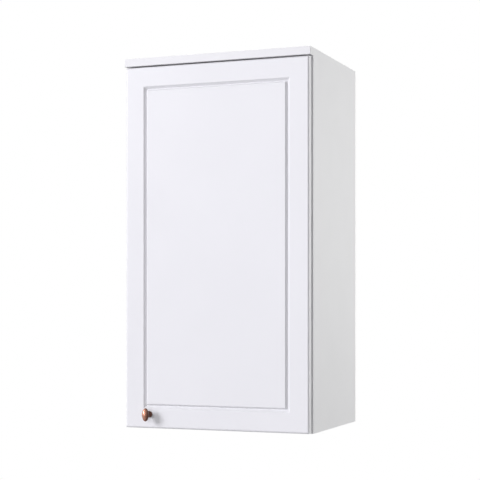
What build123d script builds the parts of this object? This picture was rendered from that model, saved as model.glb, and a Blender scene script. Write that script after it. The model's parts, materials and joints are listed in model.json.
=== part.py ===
from build123d import *
import os

# Hanging wall cabinet with one framed door, two shelves and one-pivot concealed cup hinges.
# Millimetres. X runs along the front, +Y points to the wall and +Z is up. The origin is the
# middle of the lower rear edge, on the wall plane, so the cabinet stands in front of Y = 0.

# --- Carcass ----------------------------------------------------------------------------------
cabinet_width = 400.0
cabinet_height = 755.0
cabinet_depth = 310.0            # wall to the front of the door
board = 16.0                     # melamine-faced chipboard
board_edge_radius = 0.8          # edge band, broken by hand
back_board = 3.0                 # hardboard back
back_inset = 18.0                # wall plane to the rear of the back board
back_groove_depth = 6.0
back_groove_play = 0.2           # each side of the back board
back_edge_play = 1.0             # back board to the floor of its groove
bore_spare = 1.0                 # depth of a bore past its dowel or spigot
shelf_count = 2
shelf_board = 16.0
shelf_side_play = 1.0
shelf_setback = 20.0             # shelf front behind the carcass front

# --- Door -------------------------------------------------------------------------------------
door_board = 16.0
door_gap = 2.5                   # carcass front to the back of the door
door_side_reveal = 2.5
door_top_reveal = 2.5
door_bottom_reveal = 1.0
door_front_radius = 4.0
door_back_radius = 1.5
frame_width = 40.0               # door edge to the groove
groove_outer_slope = 5.5         # width of the bank next to the frame
groove_floor = 0.4
groove_inner_slope = 3.3         # width of the bank next to the raised field
groove_depth = 5.0
groove_lip_radius = 1.0
cutter_lip = 2 * groove_lip_radius

# --- Knob -------------------------------------------------------------------------------------
knob_side_distance = 53.0        # from the free edge of the door
knob_bottom_distance = 28.5
knob_foot_radius = 6.6
knob_foot_height = 3.0
knob_neck_radius = 3.6
knob_neck_height = 13.0
knob_collar_radius = 4.9         # top of the neck, inside the head
knob_head_proud = 18.5           # door to the middle of the head
knob_head_width = 14.2
knob_head_height = 27.0
knob_shoulder_radius = 4.6       # where the belly of the head turns into its noses
knob_shoulder_height = 10.2      # from the middle of the head
knob_tip_radius = 0.6            # small flat at each end of the head
knob_screw_radius = 2.0
knob_screw_play = 0.25
knob_screw_grip = 10.0           # length of the screw inside the knob
knob_screw_head_radius = 4.2
knob_screw_head_height = 2.4

# --- One-pivot cup hinge ----------------------------------------------------------------------
hinge_end_distance = 95.0        # from the door's ends to the hinges
cup_radius = 17.5
cup_bore_depth = 12.0
cup_edge_distance = 2.5          # door edge to the rim of the cup bore
cup_play = 0.1
cup_wall = 0.9
cup_floor = 1.0
cup_cheek = 2.0                  # walls that hold the pin
cup_cheek_length = 9.0
cup_cheek_height = 7.8
cup_flange_thickness = 1.0
cup_flange_height = 62.0
cup_flange_left = 15.0           # cup centre to the flange's free edge
cup_flange_right = 15.8
cup_flange_corner = 4.0
cup_screw_offset = 9.5           # cup centre to the screws, away from the door edge
cup_screw_spacing = 45.0
pivot_edge_distance = 6.5        # door edge to the pin
pivot_depth = 7.0                # back of the door to the pin
pin_radius = 1.25
pin_length = 13.0
pin_play = 0.04
knuckle_radius = 2.0
arm_sheet = 2.0
arm_neck_width = 9.0
arm_neck_play = 0.4              # each side of the neck inside the cup
arm_neck_reach = 14.0            # pin to the bend of the neck
arm_neck_rise = 12.0             # bend to the start of the crank
arm_crank_length = 8.0
arm_bend_radius = 2.6
arm_channel_width = 15.0
arm_channel_length = 45.0
arm_side_gap = 3.5               # side panel to the edge of the channel
arm_side_play = 0.2
arm_edge_radius = 1.2
plate_screw_distance = 37.0      # carcass front to the plate's screws
plate_screw_spacing = 32.0
plate_base_thickness = 2.5
plate_base_height = 50.0
plate_base_width = 17.0
plate_saddle_height = 9.5
plate_saddle_length = 42.0
plate_saddle_setback = 1.0       # rear of the channel to the rear of the saddle
arm_screw_spacing = 30.0
arm_screw_radius = 2.0
arm_screw_play = 0.1
arm_screw_spare = 0.5            # tip of the screw to the floor of its bore
arm_screw_head_radius = 3.6
arm_screw_head_height = 2.2
arm_screw_grip = 6.0             # length of the screw below the arm

# --- Wood screws of the hinges ----------------------------------------------------------------
wood_screw_radius = 1.75
wood_screw_head_radius = 3.5
wood_screw_head_height = 1.6
cup_screw_length = 10.0
plate_screw_length = 12.0
screw_head_taper = 30.0          # degrees, all small screws

# --- Knock-down fittings ----------------------------------------------------------------------
cam_radius = 7.5
cam_depth = 12.5
cam_thickness = 11.8
cam_recess = 0.4                 # cam face below the board
cam_play = 0.1
cam_slot_width = 6.8
cam_slot_reach = 4.0             # past the cam's middle
cam_edge_distance = 34.0         # board edge to the middle of the cam
cam_cross_length = 9.0
cam_cross_width = 1.8
cam_cross_depth = 2.4
cam_cap_radius = 8.8
cam_cap_thickness = 1.0
cam_cap_taper = 40.0             # degrees
bolt_radius = 2.5
bolt_head_radius = 3.1
bolt_head_length = 2.2
bolt_head_play = 0.5             # the head passes through the bore
bolt_thread_length = 11.0
front_cam_distance = 50.0        # carcass front to the first fitting
rear_cam_distance = 95.0         # wall plane to the last fitting
dowel_step = 32.0                # from a fitting to its dowel
dowel_radius = 4.0
dowel_length = 30.0
dowel_face_depth = 11.0          # part of the dowel in the face of a board

# --- Shelf supports ---------------------------------------------------------------------------
support_radius = 2.5
support_bore_depth = 9.0
support_pin_depth = 8.0
support_reach = 9.0
support_flat = 1.2               # shelf above the pin's axis
support_collar_radius = 4.0
support_collar_thickness = 1.6
support_pitch = 32.0
support_holes = 3                # in each column, the shelf on the middle one
support_front_distance = 37.0    # carcass front to the front column
support_rear_distance = 40.0     # back board to the rear column

# --- Adjustable hangers and wall rail ---------------------------------------------------------
rail_sheet = 2.0
rail_end_gap = 6.0               # side panel to the end of the rail
rail_drop = 37.0                 # top of the cabinet to the top of the rail
rail_lip_height = 14.0
rail_lip_offset = 8.0            # wall plane to the front of the lip
rail_flange_height = 28.0
rail_hole_radius = 3.25
rail_hole_spacing = 256.0
hanger_width = 16.0
hanger_height = 39.0
hanger_length = 43.0
hanger_wall = 1.5
hanger_front_wall = 2.0
hanger_top_play = 3.0            # housing below the top panel
hanger_notch_play = 1.0          # housing to the cut corner of the back board
hanger_rear_inset = 19.0         # wall plane to the rear of the housing
hanger_spigot_radius = 5.0
hanger_spigot_length = 9.0
hanger_spigot_spacing = 20.0
hook_sheet = 4.0
hook_block_width = 10.0
hook_block_length = 14.0
hook_block_height = 24.0
hook_arm_height = 10.0
hook_nose_thickness = 3.2
hook_nose_drop = 9.0
hook_nose_play = 0.4             # nose behind the rail's lip
hook_screw_radius = 2.5
hook_screw_play = 0.1
hook_bore_depth = 12.0           # threaded bore in the block
hook_screw_spacing = 13.0
hook_screw_head_radius = 4.0
hook_screw_head_height = 2.5
hook_screw_slot = 1.2
hook_block_inset = 2.0           # rear of the housing to the block
hook_screw_spare = 6.0           # tip of the screw to the rear of the housing

# --- Door bumpers -----------------------------------------------------------------------------
bumper_radius = 4.0
bumper_play = 0.4                # bumper to the side panel with the door shut
bumper_end_distance = 25.0
bumper_edge_chamfer = 0.6

# --- Derived places ---------------------------------------------------------------------------
side_x = cabinet_width / 2                       # outer face of the side panels
inner_x = side_x - board                         # inner face of the side panels
carcass_front = -(cabinet_depth - door_board - door_gap)
carcass_depth = -carcass_front
door_back = carcass_front - door_gap
door_front = door_back - door_board
side_height = cabinet_height - board             # underside of the top panel
door_low = door_bottom_reveal
door_high = side_height - door_top_reveal
door_height = door_high - door_low
door_width = cabinet_width - 2 * door_side_reveal
door_middle = (door_low + door_high) / 2
door_hinge_edge = side_x - door_side_reveal
door_free_edge = -door_hinge_edge

back_rear = -back_inset
back_front = back_rear - back_board
groove_width = back_board + 2 * back_groove_play
groove_middle = (back_rear + back_front) / 2
inner_bottom = board
inner_height = side_height - inner_bottom

cup_x = door_hinge_edge - cup_edge_distance - cup_radius
pivot_x = door_hinge_edge - pivot_edge_distance
pivot_y = door_back - pivot_depth
hinge_heights = {"lower": door_low + hinge_end_distance, "upper": door_high - hinge_end_distance}

fitting_rows = (carcass_front + front_cam_distance, -rear_cam_distance)
dowel_rows = (fitting_rows[0] + dowel_step, fitting_rows[1] - dowel_step)
board_middle_x = side_x - board / 2
bolt_length = cam_edge_distance + bolt_head_length / 2

shelf_levels = [inner_bottom + inner_height * (i + 1) / (shelf_count + 1) for i in range(shelf_count)]
shelf_depth = carcass_depth - shelf_setback + back_front
shelf_width = 2 * (inner_x - shelf_side_play)
support_levels = [level - shelf_board / 2 - support_flat for level in shelf_levels]
support_rows = (carcass_front + support_front_distance, back_front - support_rear_distance)

rail_top = cabinet_height - rail_drop
rail_step = rail_top - rail_lip_height           # foot of the lip
rail_low = rail_step - rail_flange_height
rail_length = 2 * (inner_x - rail_end_gap)
hanger_top = side_height - hanger_top_play
hanger_middle = hanger_top - hanger_height / 2
hanger_rear = -hanger_rear_inset
hanger_front = hanger_rear - hanger_length
hanger_middle_y = (hanger_front + hanger_rear) / 2
spigot_rows = [hanger_middle_y + end * hanger_spigot_spacing / 2 for end in (-1, 1)]
hook_x = inner_x - hanger_width / 2
hook_rear = -(rail_sheet + hook_nose_play)
hook_screw_low = rail_top + hook_arm_height / 2 - hook_screw_spacing
hook_block_top = rail_top + hook_arm_height
hook_block_rear = hanger_rear - hook_block_inset
hook_block_front = hook_block_rear - hook_block_length
hook_block_middle = (hook_block_front + hook_block_rear) / 2
notch_x = inner_x - hanger_width - hanger_notch_play
notch_z = hanger_top - hanger_height - hanger_notch_play

pieces = {}


def keep(name, builder):
    """Name a finished sub-part."""
    builder.part.label = name
    pieces[name] = builder.part


def inner_face(side, y, z):
    """Plane on a side panel's inner face, x level, y up and z into the cabinet (side -1 left, 1 right)."""
    return Plane(origin=(side * inner_x, y, z), x_dir=(0, -side, 0), z_dir=(-side, 0, 0))


def front_plane(x, y, z):
    """Upright plane that faces the front, x to the right and y up."""
    return Plane(origin=(x, y, z), x_dir=(1, 0, 0), z_dir=(0, -1, 0))


def down_plane(x, y, z):
    """Level plane that faces down."""
    return Plane(origin=(x, y, z), x_dir=(1, 0, 0), z_dir=(0, 0, -1))


def door_back_plane(x, z):
    """Plane on the back of the door, facing the cabinet."""
    return Plane(origin=(x, door_back, z), x_dir=(1, 0, 0), z_dir=(0, 1, 0))


def top_edge(side, y):
    """Plane on the top edge of a side panel, at mid-thickness."""
    return Plane(origin=(side * board_middle_x, y, side_height))


def bottom_joint(side, y):
    """Plane where an end of the bottom panel meets a side panel, facing the middle of the cabinet."""
    return Plane(origin=(side * inner_x, y, board / 2), x_dir=(0, 1, 0), z_dir=(-side, 0, 0))


def top_cam(side, y):
    """Plane on a side panel's inner face, at a cam of the top joint."""
    return inner_face(side, y, side_height - cam_edge_distance)


def bottom_cam(side, y):
    """Plane on the underside of the bottom panel, at a cam."""
    return Plane(origin=(side * (inner_x - cam_edge_distance), y, 0), x_dir=(-side, 0, 0), z_dir=(0, 0, -1))


def rod(plane, radius, low, high, mode=Mode.ADD):
    """Round bar on a plane's normal, between two heights, in the sub-part that is being built."""
    with BuildSketch(plane.offset(low)) as section:
        Circle(radius)
    extrude(section.sketch, amount=high - low, mode=mode)


def bore(plane, radius, depth):
    """Round blind bore from a plane inwards."""
    rod(plane, radius, -depth, 0, Mode.SUBTRACT)


def pan_screw(plane, radius, length, head_radius, head_height):
    """A screw with a tapered head on a plane and its shank below."""
    rod(plane, radius, -length, 0)
    with BuildSketch(plane) as rim:
        Circle(head_radius)
    extrude(rim.sketch, amount=head_height, taper=screw_head_taper)


def both_sides_and_rows(rows):
    """Every pair of a side and a row."""
    return [(side, y) for side in (-1, 1) for y in rows]


# --- Side panels ------------------------------------------------------------------------------
# Full-height boards. The back board sits in a groove, the hangers and supports in bores.
for side, name in ((-1, "left_side_panel"), (1, "right_side_panel")):
    with BuildPart() as side_panel:
        with BuildSketch(Plane.XY):
            with Locations((side * board_middle_x, carcass_front / 2)):
                Rectangle(board, carcass_depth)
        extrude(amount=side_height)
        fillet(side_panel.faces().sort_by(Axis.Y)[0].edges().filter_by(Axis.Z), board_edge_radius)
        with BuildSketch(Plane.XY):
            with Locations((side * (inner_x + back_groove_depth / 2), groove_middle)):
                Rectangle(back_groove_depth, groove_width)
        extrude(amount=side_height, mode=Mode.SUBTRACT)
        for row in support_rows:
            for level in support_levels:
                for step in range(support_holes):
                    z = level + (step - (support_holes - 1) / 2) * support_pitch
                    bore(inner_face(side, row, z), support_radius, support_bore_depth)
        for row in fitting_rows:
            bore(top_cam(side, row), cam_radius, cam_depth)
            bore(top_edge(side, row), bolt_head_radius + bolt_head_play, cam_edge_distance)
            bore(bottom_joint(side, row), bolt_radius, bolt_thread_length)
        for row in dowel_rows:
            bore(top_edge(side, row), dowel_radius, dowel_length - dowel_face_depth + bore_spare)
            bore(bottom_joint(side, row), dowel_radius, dowel_face_depth + bore_spare)
        for y in spigot_rows:
            bore(inner_face(side, y, hanger_middle), hanger_spigot_radius, hanger_spigot_length + bore_spare)
        if side == 1:
            for z in hinge_heights.values():
                for end in (-1, 1):
                    screw_z = z + end * plate_screw_spacing / 2
                    place = inner_face(side, carcass_front + plate_screw_distance, screw_z)
                    bore(place, wood_screw_radius, plate_screw_length)
    keep(name, side_panel)

# --- Top panel --------------------------------------------------------------------------------
# Lies on the side panels and reaches forward over the door.
with BuildPart() as top_panel:
    with BuildSketch(Plane.XY.offset(side_height)):
        with Locations((0, -cabinet_depth / 2)):
            Rectangle(cabinet_width, cabinet_depth)
    extrude(amount=board)
    fillet(top_panel.faces().sort_by(Axis.Y)[0].edges(), board_edge_radius)
    with BuildSketch(Plane.XY.offset(side_height)):
        with Locations((0, groove_middle)):
            Rectangle(2 * (inner_x + back_groove_depth), groove_width)
    extrude(amount=back_groove_depth, mode=Mode.SUBTRACT)
    for side, row in both_sides_and_rows(fitting_rows):
        bore(down_plane(side * board_middle_x, row, side_height), bolt_radius, bolt_thread_length)
    for side, row in both_sides_and_rows(dowel_rows):
        place = down_plane(side * board_middle_x, row, side_height)
        bore(place, dowel_radius, dowel_face_depth + bore_spare)
keep("top_panel", top_panel)

# --- Bottom panel -----------------------------------------------------------------------------
# Stands between the side panels, with its cams underneath.
with BuildPart() as bottom_panel:
    with BuildSketch(Plane.XY):
        with Locations((0, carcass_front / 2)):
            Rectangle(2 * inner_x, carcass_depth)
    extrude(amount=board)
    fillet(bottom_panel.faces().sort_by(Axis.Y)[0].edges().filter_by(Axis.X), board_edge_radius)
    with BuildSketch(Plane.XY.offset(board)):
        with Locations((0, groove_middle)):
            Rectangle(2 * inner_x, groove_width)
    extrude(amount=-back_groove_depth, mode=Mode.SUBTRACT)
    for side, row in both_sides_and_rows(fitting_rows):
        bore(bottom_cam(side, row), cam_radius, cam_depth)
        with BuildSketch(bottom_joint(side, row)):
            Circle(bolt_head_radius + bolt_head_play)
        extrude(amount=cam_edge_distance, mode=Mode.SUBTRACT)
    for side, row in both_sides_and_rows(dowel_rows):
        with BuildSketch(bottom_joint(side, row)):
            Circle(dowel_radius)
        extrude(amount=dowel_length - dowel_face_depth + bore_spare, mode=Mode.SUBTRACT)
keep("bottom_panel", bottom_panel)

# --- Back board -------------------------------------------------------------------------------
# Slides into the grooves. Its upper corners are cut away for the hangers.
back_width = 2 * (inner_x + back_groove_depth - back_edge_play)
back_low = board - back_groove_depth
back_high = side_height + back_groove_depth - back_edge_play
with BuildPart() as back_panel:
    with BuildSketch(front_plane(0, back_rear, 0)):
        with Locations((0, (back_low + back_high) / 2)):
            Rectangle(back_width, back_high - back_low)
        corner_width = back_width / 2 - notch_x
        corner_height = back_high - notch_z
        for side in (-1, 1):
            with Locations((side * (notch_x + corner_width / 2), notch_z + corner_height / 2)):
                Rectangle(corner_width, corner_height, mode=Mode.SUBTRACT)
    extrude(amount=back_board)
keep("back_panel", back_panel)

# --- Shelves and their supports ---------------------------------------------------------------
for level, support_level, name in zip(shelf_levels, support_levels, ("lower", "upper")):
    with BuildPart() as shelf:
        with BuildSketch(Plane.XY.offset(level - shelf_board / 2)):
            with Locations((0, back_front - shelf_depth / 2)):
                Rectangle(shelf_width, shelf_depth)
        extrude(amount=shelf_board)
        fillet(shelf.faces().sort_by(Axis.Y)[0].edges().filter_by(Axis.X), board_edge_radius)
    keep(f"{name}_shelf", shelf)

    with BuildPart() as supports:
        for side, row in both_sides_and_rows(support_rows):
            face = inner_face(side, row, support_level)
            with BuildSketch(face.offset(-support_pin_depth)):
                Circle(support_radius)
            extrude(amount=support_pin_depth)
            with BuildSketch(face):
                Circle(support_collar_radius)
                with Locations((0, support_flat + support_collar_radius)):
                    Rectangle(2 * support_collar_radius, 2 * support_collar_radius, mode=Mode.SUBTRACT)
            extrude(amount=support_collar_thickness)
            with BuildSketch(face):
                Circle(support_radius)
                with Locations((0, support_flat + support_radius)):
                    Rectangle(2 * support_radius, 2 * support_radius, mode=Mode.SUBTRACT)
            extrude(amount=support_reach)
    keep(f"{name}_shelf_supports", supports)

# --- Knock-down fittings ----------------------------------------------------------------------
# Each bolt screws into the face of one board and its head is drawn in by a cam in the other.
cam_places = [(top_cam(side, row), (0, 1)) for side, row in both_sides_and_rows(fitting_rows)]
cam_places += [(bottom_cam(side, row), (-1, 0)) for side, row in both_sides_and_rows(fitting_rows)]
with BuildPart() as cam_locks:
    for place, mouth in cam_places:
        with BuildSketch(place.offset(-cam_recess - cam_thickness)):
            Circle(cam_radius - cam_play)
        extrude(amount=cam_thickness)
        with BuildSketch(place.offset(-board / 2 - cam_slot_width / 2)):
            reach = cam_radius + cam_slot_reach
            middle = (cam_radius - cam_slot_reach) / 2
            with Locations((mouth[0] * middle, mouth[1] * middle)):
                Rectangle(reach if mouth[0] else cam_slot_width, reach if mouth[1] else cam_slot_width)
        extrude(amount=cam_slot_width, mode=Mode.SUBTRACT)
        with BuildSketch(place.offset(-cam_recess)):
            Rectangle(cam_cross_length, cam_cross_width)
            Rectangle(cam_cross_width, cam_cross_length)
        extrude(amount=-cam_cross_depth, mode=Mode.SUBTRACT)
keep("cam_locks", cam_locks)

with BuildPart() as cam_caps:
    for side, row in both_sides_and_rows(fitting_rows):
        with BuildSketch(top_cam(side, row)) as cap:
            Circle(cam_cap_radius)
        extrude(cap.sketch, amount=cam_cap_thickness, taper=cam_cap_taper)
keep("cam_cover_caps", cam_caps)


def bolt(plane):
    """A fitting's bolt along a plane's normal: thread below the plane, shank and head above it."""
    head_low = bolt_length - bolt_head_length
    rod(plane, bolt_radius, -bolt_thread_length, head_low)
    rod(plane, bolt_head_radius, head_low, bolt_length)


with BuildPart() as cam_bolts:
    for side, row in both_sides_and_rows(fitting_rows):
        bolt(down_plane(side * board_middle_x, row, side_height))
        bolt(bottom_joint(side, row))
keep("cam_bolts", cam_bolts)

with BuildPart() as dowels:
    for side, row in both_sides_and_rows(dowel_rows):
        for place in (down_plane(side * board_middle_x, row, side_height), bottom_joint(side, row)):
            with BuildSketch(place.offset(-dowel_face_depth)):
                Circle(dowel_radius)
            extrude(amount=dowel_length)
keep("dowels", dowels)

# --- Door -------------------------------------------------------------------------------------
# One routed board: a frame, a groove with two banks, and a raised field level with the frame.
door_face = front_plane(0, door_front, door_middle)
groove_half_width = door_width / 2 - frame_width
groove_half_height = door_height / 2 - frame_width
groove_inner_start = groove_outer_slope + groove_floor
groove_width_total = groove_inner_start + groove_inner_slope
knob_x = door_free_edge + knob_side_distance
knob_z = door_low + knob_bottom_distance

with BuildPart() as door_panel:
    with BuildSketch(door_face):
        Rectangle(door_width, door_height)
    extrude(amount=-door_board)
    fillet(door_panel.faces().sort_by(Axis.Y)[0].edges(), door_front_radius)
    fillet(door_panel.faces().sort_by(Axis.Y)[-1].edges(), door_back_radius)
    with BuildLine(door_face) as groove_path:
        Polyline((0, groove_half_height), (groove_half_width, groove_half_height),
                 (groove_half_width, -groove_half_height), (-groove_half_width, -groove_half_height),
                 (-groove_half_width, groove_half_height), close=True)
    # Section of the cutter: x from the frame inwards, y out of the door.
    groove_start = Plane(origin=groove_path.line @ 0, x_dir=(0, 0, -1), z_dir=(-1, 0, 0))
    with BuildSketch(groove_start):
        with BuildLine():
            Polyline((-cutter_lip, 0), (0, 0), (groove_outer_slope, -groove_depth),
                     (groove_inner_start, -groove_depth), (groove_width_total, 0),
                     (groove_width_total + cutter_lip, 0), (groove_width_total + cutter_lip, cutter_lip),
                     (-cutter_lip, cutter_lip), close=True)
        lips = make_face().vertices().filter_by_position(Axis.Y, 0, 0)
        fillet([lip for lip in lips if -groove_lip_radius < lip.X < groove_width_total + groove_lip_radius],
               groove_lip_radius)
    sweep(path=groove_path.line, transition=Transition.RIGHT, mode=Mode.SUBTRACT)
    for z in hinge_heights.values():
        bore(door_back_plane(cup_x, z), cup_radius, cup_bore_depth)
        for end in (-1, 1):
            screw_place = door_back_plane(cup_x - cup_screw_offset, z + end * cup_screw_spacing / 2)
            bore(screw_place, wood_screw_radius, cup_screw_length)
    with BuildSketch(door_back_plane(knob_x, knob_z)):
        Circle(knob_screw_radius + knob_screw_play)
    extrude(amount=-door_board, mode=Mode.SUBTRACT)
keep("door_panel", door_panel)

# --- Knob and its screw -----------------------------------------------------------------------
# A round foot, a waisted neck and an upright oval head.
knob_face = front_plane(knob_x, door_front, knob_z)
knob_axis = Axis((knob_x, door_front, knob_z), (0, -1, 0))
head_face = knob_face.offset(knob_head_proud)
head_axis = Axis(head_face.origin, (0, 0, 1))
head_tip = knob_head_height / 2
with BuildPart() as knob:
    # Foot and neck, turned on the knob's axis: x from the axis, y out of the door.
    with BuildSketch(knob_face.rotated((90, 0, 0))):
        with BuildLine():
            rim = Line((knob_foot_radius, 0), (knob_foot_radius, knob_foot_height / 2))
            waist = ThreePointArc(rim @ 1, (knob_neck_radius, knob_neck_height / 2),
                                  (knob_collar_radius, knob_neck_height))
            Polyline(waist @ 1, (0, knob_neck_height), (0, 0), rim @ 0)
        make_face()
    revolve(axis=knob_axis)
    # Head, an olive turned on its own upright axis.
    with BuildSketch(head_face):
        with BuildLine():
            belly = ThreePointArc((knob_shoulder_radius, -knob_shoulder_height), (knob_head_width / 2, 0),
                                  (knob_shoulder_radius, knob_shoulder_height))
            upper_nose = TangentArc(belly @ 1, (knob_tip_radius, head_tip), tangent=belly % 1)
            lower_nose = TangentArc(belly @ 0, (knob_tip_radius, -head_tip), tangent=-(belly % 0))
            Polyline(upper_nose @ 1, (0, head_tip), (0, -head_tip), lower_nose @ 1)
        make_face()
    revolve(axis=head_axis)
    rod(knob_face, knob_screw_radius, 0, knob_screw_grip, Mode.SUBTRACT)
keep("knob", knob)

with BuildPart() as knob_screw:
    pan_screw(door_back_plane(knob_x, knob_z), knob_screw_radius, door_board + knob_screw_grip,
              knob_screw_head_radius, knob_screw_head_height)
keep("knob_screw", knob_screw)

# --- Hinges -----------------------------------------------------------------------------------
# The cup is sunk in the door. A cranked arm, screwed on a plate inside the carcass, reaches
# round the front edge of the side panel into the cup and turns on the pin.
plate_y = carcass_front + plate_screw_distance
web_x = inner_x - plate_saddle_height - arm_sheet / 2
neck_x = pivot_x - arm_neck_reach
channel_front = pivot_y + arm_neck_rise + arm_crank_length
channel_rear = channel_front + arm_channel_length
channel_middle = (channel_front + channel_rear) / 2
saddle_rear = channel_rear - plate_saddle_setback
saddle_front = saddle_rear - plate_saddle_length
arm_screw_middle = (saddle_front + saddle_rear) / 2
cheek_inner = arm_neck_width / 2 + arm_neck_play
arm_screw_length = arm_sheet + arm_screw_grip - arm_screw_spare

for name, z in hinge_heights.items():
    with BuildPart() as cup:
        back = door_back_plane(cup_x, z)
        with BuildSketch(back):
            Circle(cup_radius - cup_play)
        extrude(amount=-(cup_bore_depth - cup_play))
        with BuildSketch(back):
            Circle(cup_radius - cup_play - cup_wall)
        extrude(amount=-(cup_bore_depth - cup_play - cup_floor), mode=Mode.SUBTRACT)
        with BuildSketch(Plane.XY.offset(z - cheek_inner - cup_cheek)):
            with Locations((door_hinge_edge - cup_edge_distance - cup_cheek_length / 2,
                            door_back - cup_bore_depth + cup_cheek_height / 2 + cup_play)):
                Rectangle(cup_cheek_length, cup_cheek_height)
        extrude(amount=2 * (cheek_inner + cup_cheek))
        with BuildSketch(Plane.XY.offset(z - cheek_inner)):
            with Locations((cup_x, door_back - (cup_bore_depth - cup_play - cup_floor) / 2)):
                Rectangle(2 * (cup_radius - cup_play - cup_wall), cup_bore_depth - cup_play - cup_floor)
        extrude(amount=2 * cheek_inner, mode=Mode.SUBTRACT)
        with BuildSketch(back):
            Circle(cup_radius - cup_play)
        extrude(amount=-(cup_bore_depth - cup_play), mode=Mode.INTERSECT)
        with BuildSketch(back):
            with Locations(((cup_flange_right - cup_flange_left) / 2, 0)):
                RectangleRounded(cup_flange_left + cup_flange_right, cup_flange_height, cup_flange_corner)
            Circle(cup_radius - cup_play - cup_wall, mode=Mode.SUBTRACT)
            with Locations([(-cup_screw_offset, end * cup_screw_spacing / 2) for end in (-1, 1)]):
                Circle(wood_screw_radius, mode=Mode.SUBTRACT)
        extrude(amount=cup_flange_thickness)
        with BuildSketch(Plane.XY.offset(z - cheek_inner - cup_cheek)):
            with Locations((pivot_x, pivot_y)):
                Circle(pin_radius)
        extrude(amount=2 * (cheek_inner + cup_cheek), mode=Mode.SUBTRACT)
    keep(f"{name}_hinge_cup", cup)

    with BuildPart() as pin:
        with BuildSketch(Plane.XY.offset(z - pin_length / 2)):
            with Locations((pivot_x, pivot_y)):
                Circle(pin_radius)
        extrude(amount=pin_length)
    keep(f"{name}_hinge_pin", pin)

    with BuildPart() as arm:
        with BuildSketch(Plane.XY.offset(z - arm_neck_width / 2)):
            with BuildLine():
                FilletPolyline((pivot_x, pivot_y), (neck_x, pivot_y), (neck_x, pivot_y + arm_neck_rise),
                               (web_x, channel_front), (web_x, channel_rear), radius=arm_bend_radius)
            trace(line_width=arm_sheet)
            with Locations((pivot_x, pivot_y)):
                Circle(knuckle_radius)
                Circle(pin_radius + pin_play, mode=Mode.SUBTRACT)
        extrude(amount=arm_neck_width)
        with BuildSketch(Plane.XY.offset(z - arm_channel_width / 2)):
            with Locations(((web_x - arm_sheet / 2 + inner_x - arm_side_gap) / 2,
                            channel_middle)):
                Rectangle(inner_x - arm_side_gap - web_x + arm_sheet / 2, arm_channel_length)
        extrude(amount=arm_channel_width)
        fillet(arm.edges().filter_by(Axis.Y).group_by(Axis.X)[0], arm_edge_radius)
        with BuildSketch(Plane.XY.offset(z - arm_channel_width / 2 + arm_sheet)):
            with Locations((web_x + (arm_sheet + plate_saddle_height) / 2, channel_middle)):
                Rectangle(plate_saddle_height, arm_channel_length + 1)
        extrude(amount=arm_channel_width - 2 * arm_sheet, mode=Mode.SUBTRACT)
        for end in (-1, 1):
            with BuildSketch(inner_face(1, arm_screw_middle + end * arm_screw_spacing / 2, z)):
                Circle(arm_screw_radius + arm_screw_play)
            extrude(amount=2 * plate_saddle_height, mode=Mode.SUBTRACT)
    keep(f"{name}_hinge_arm", arm)

    with BuildPart() as plate:
        with BuildSketch(inner_face(1, plate_y, z)):
            SlotOverall(plate_base_height, plate_base_width, rotation=90)
        extrude(amount=plate_base_thickness)
        with BuildSketch(inner_face(1, (saddle_front + saddle_rear) / 2, z)):
            Rectangle(plate_saddle_length, arm_channel_width - 2 * arm_sheet - 2 * arm_side_play)
        extrude(amount=plate_saddle_height)
        for end in (-1, 1):
            with BuildSketch(inner_face(1, plate_y, z + end * plate_screw_spacing / 2)):
                Circle(wood_screw_radius)
            extrude(amount=plate_base_thickness, mode=Mode.SUBTRACT)
            bore(inner_face(1, arm_screw_middle + end * arm_screw_spacing / 2, z).offset(plate_saddle_height),
                 arm_screw_radius, arm_screw_grip)
    keep(f"{name}_hinge_plate", plate)


with BuildPart() as cup_screws:
    for z in hinge_heights.values():
        for end in (-1, 1):
            place = door_back_plane(cup_x - cup_screw_offset, z + end * cup_screw_spacing / 2)
            pan_screw(place.offset(cup_flange_thickness), wood_screw_radius, cup_screw_length,
                      wood_screw_head_radius, wood_screw_head_height)
keep("hinge_cup_screws", cup_screws)

with BuildPart() as plate_screws:
    for z in hinge_heights.values():
        for end in (-1, 1):
            place = inner_face(1, plate_y, z + end * plate_screw_spacing / 2)
            pan_screw(place.offset(plate_base_thickness), wood_screw_radius, plate_screw_length,
                      wood_screw_head_radius, wood_screw_head_height)
keep("hinge_plate_screws", plate_screws)

with BuildPart() as arm_screws:
    for z in hinge_heights.values():
        for end in (-1, 1):
            place = inner_face(1, arm_screw_middle + end * arm_screw_spacing / 2, z)
            pan_screw(place.offset(plate_saddle_height + arm_sheet), arm_screw_radius, arm_screw_length,
                      arm_screw_head_radius, arm_screw_head_height)
keep("hinge_arm_screws", arm_screws)

# --- Door bumpers -----------------------------------------------------------------------------
with BuildPart() as bumpers:
    for z in (door_low + bumper_end_distance, door_high - bumper_end_distance):
        with BuildSketch(door_back_plane(-board_middle_x, z)):
            Circle(bumper_radius)
        extrude(amount=door_gap - bumper_play)
    chamfer(bumpers.edges().filter_by(GeomType.CIRCLE).group_by(Axis.Y)[-1], bumper_edge_chamfer)
keep("door_bumpers", bumpers)

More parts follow.
